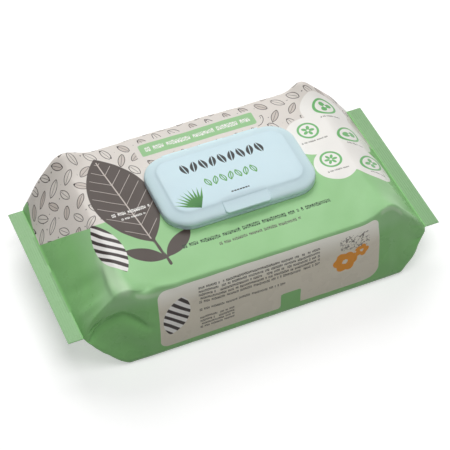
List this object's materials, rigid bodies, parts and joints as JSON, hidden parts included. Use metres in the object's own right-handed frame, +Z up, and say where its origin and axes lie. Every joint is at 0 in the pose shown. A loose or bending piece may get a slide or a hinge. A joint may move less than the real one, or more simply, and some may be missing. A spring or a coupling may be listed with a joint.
{
  "type": "wet wipes pack",
  "caption": "Film pouch of folded wet wipes with flat sealed ends, tucked side gussets and a hinged flip-top lid over its dispensing opening.",
  "frame": {"origin": "on the ground under the middle of the pack", "axes": "+X along the pack towards its right-hand end seal, +Y towards the long side that the lid is hinged on, +Z up"},
  "size_m": [0.22, 0.12, 0.0586],
  "materials": {
    "printed_film": "satin",
    "nonwoven": "matte",
    "lid_plastic": "satin",
    "hot_melt": "satin"
  },
  "bodies": {
    "pack": {"pouch_film": "printed_film", "wipes_stack": "nonwoven", "lid_base": "lid_plastic", "bond_ring": "hot_melt"},
    "lid": {"flip_lid": "lid_plastic"}
  },
  "joints": [
    {"name": "lid_hinge", "type": "hinge", "parent": "pack", "child": "lid", "pos_m": [0.006, 0.0311, 0.0531], "axis": [-1, 0, 0], "range_deg": [0, 115]}
  ]
}
